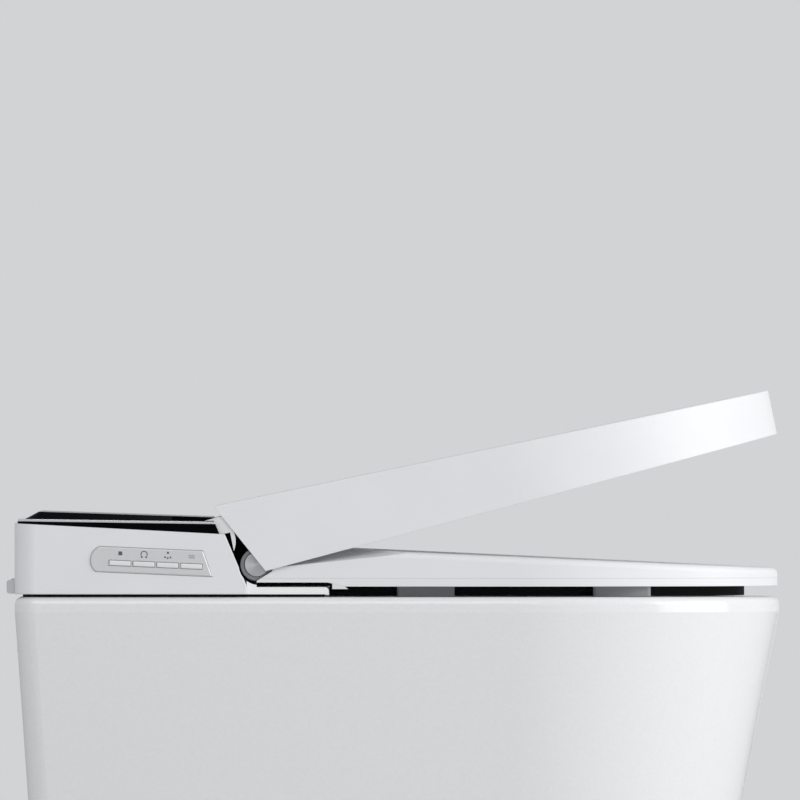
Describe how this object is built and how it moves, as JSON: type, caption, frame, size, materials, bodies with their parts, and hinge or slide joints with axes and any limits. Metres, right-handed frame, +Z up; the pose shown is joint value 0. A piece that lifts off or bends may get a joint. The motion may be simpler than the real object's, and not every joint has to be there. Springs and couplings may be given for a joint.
{
  "type": "bidet toilet",
  "caption": "Floor-standing washing toilet with a skirted glazed bowl, heated seat, wedge lid, casing with side buttons and sliding spray wands.",
  "frame": {"origin": "middle of the drain outlet, at floor level", "axes": "+X to the front, +Y to the user's left, +Z up"},
  "size_m": [0.6972, 0.3822, 0.5837],
  "materials": {
    "china": "glossy white glaze",
    "white_plastic": "moulded white, satin gloss",
    "black_gloss": "moulded black, high gloss",
    "bright_trim": "bright plated",
    "silver_plastic": "silver grey satin",
    "button_white": "white",
    "dark_plastic": "dark grey moulded",
    "grey_plastic": "grey moulded",
    "wand_white": "white moulded",
    "steel": "stainless",
    "brass": "machined",
    "nut_plastic": "moulded",
    "pad_rubber": "light grey elastomer",
    "black_rubber": "black elastomer",
    "circuit_board": "green board",
    "heater_film": "foil"
  },
  "bodies": {
    "frame": {"air_pump": "dark_plastic", "base_plate": "white_plastic", "blower_case": "grey_plastic", "blower_motor": "dark_plastic", "bowl_body": "china", "button_board": "circuit_board", "chassis_screws": "steel", "control_plate": "silver_plastic", "cord_gland": "pad_rubber", "deck_bolts": "steel", "deck_gasket": "black_rubber", "deck_nuts": "nut_plastic", "drain_seal": "black_rubber", "dryer_duct": "grey_plastic", "feed_tube": "black_rubber", "flush_tube": "black_rubber", "flush_valve": "grey_plastic", "front_cover": "black_gloss", "heater_tank": "grey_plastic", "housing_shell": "white_plastic", "inlet_block": "grey_plastic", "inlet_fitting": "brass", "lid_motor": "grey_plastic", "main_board": "circuit_board", "rear_buffers": "pad_rubber", "seat_barrels": "dark_plastic", "seat_dampers": "grey_plastic", "seat_pins": "steel", "shaft_bushes": "grey_plastic", "side_plugs": "white_plastic", "top_cover": "black_gloss", "top_panel": "black_gloss", "top_strip": "bright_trim", "wand_cradle": "grey_plastic", "wand_motors": "dark_plastic", "water_valve": "grey_plastic"},
    "seat": {"seat_top": "white_plastic", "seat_base": "white_plastic", "seat_heater": "heater_film", "seat_pads": "pad_rubber", "seat_skirt": "black_rubber", "hinge_rings": "dark_plastic", "hinge_discs": "steel"},
    "lid": {"lid_shell": "white_plastic", "lid_liner": "white_plastic", "lid_pads": "pad_rubber", "lid_arms": "white_plastic"},
    "lid_shaft": {"lid_shaft": "steel"},
    "stop_button": {"button_stop": "button_white"},
    "rear_wash_button": {"button_rear_wash": "button_white"},
    "front_wash_button": {"button_front_wash": "button_white"},
    "dryer_button": {"button_dryer": "button_white"},
    "rear_wand": {"rear_wash_wand": "wand_white", "rear_wash_tip": "steel"},
    "front_wand": {"front_wash_wand": "wand_white", "front_wash_tip": "steel"},
    "rear_pinion": {"rear_wash_pinion": "grey_plastic"},
    "front_pinion": {"front_wash_pinion": "grey_plastic"},
    "fan": {"blower_fan": "grey_plastic"},
    "flap": {"dryer_flap": "grey_plastic"}
  },
  "joints": [
    {"name": "seat_hinge", "type": "hinge", "parent": "frame", "child": "seat", "pos_m": [-0.0672, 0, 0.4272], "axis": [0, -1, 0], "range_deg": [0, 85]},
    {"name": "lid_follow", "type": "hinge", "parent": "frame", "child": "lid_shaft", "pos_m": [-0.1263, 0, 0.455], "axis": [0, -1, 0], "range_deg": [0, 85]},
    {"name": "lid_hinge", "type": "hinge", "parent": "lid_shaft", "child": "lid", "pos_m": [-0.1263, 0, 0.455], "axis": [0, 1, 0], "range_deg": [-85, 14.94]},
    {"name": "stop_press", "type": "slide", "parent": "frame", "child": "stop_button", "axis": [0, 1, 0], "range_m": [0, 0.0012], "stiffness_N_per_m": 600},
    {"name": "rear_wash_press", "type": "slide", "parent": "frame", "child": "rear_wash_button", "axis": [0, 1, 0], "range_m": [0, 0.0012], "stiffness_N_per_m": 600},
    {"name": "front_wash_press", "type": "slide", "parent": "frame", "child": "front_wash_button", "axis": [0, 1, 0], "range_m": [0, 0.0012], "stiffness_N_per_m": 600},
    {"name": "dryer_press", "type": "slide", "parent": "frame", "child": "dryer_button", "axis": [0, 1, 0], "range_m": [0, 0.0012], "stiffness_N_per_m": 600},
    {"name": "rear_wand_slide", "type": "slide", "parent": "frame", "child": "rear_wand", "axis": [0.9659, 0, -0.2588], "range_m": [0, 0.11]},
    {"name": "rear_pinion_turn", "type": "hinge", "parent": "frame", "child": "rear_pinion", "pos_m": [-0.11176, 0.011, 0.43323], "axis": [0, -1, 0], "range_deg": [0, 876]},
    {"name": "front_wand_slide", "type": "slide", "parent": "frame", "child": "front_wand", "axis": [0.9659, 0, -0.2588], "range_m": [0, 0.11]},
    {"name": "front_pinion_turn", "type": "hinge", "parent": "frame", "child": "front_pinion", "pos_m": [-0.11176, -0.011, 0.43323], "axis": [0, -1, 0], "range_deg": [0, 876]},
    {"name": "fan_spin", "type": "hinge", "parent": "frame", "child": "fan", "pos_m": [-0.196, -0.128, 0.42], "axis": [0, 0, 1], "continuous": true},
    {"name": "flap_hinge", "type": "hinge", "parent": "frame", "child": "flap", "pos_m": [-0.0954, -0.107, 0.4233], "axis": [0, -1, 0], "range_deg": [0, 60]}
  ],
  "couplings": [
    {"joint": "lid_follow", "follows": "seat_hinge", "ratio": 1},
    {"joint": "rear_pinion_turn", "follows": "rear_wand_slide", "rad_per_m": 138.89},
    {"joint": "front_pinion_turn", "follows": "front_wand_slide", "rad_per_m": 138.89}
  ]
}
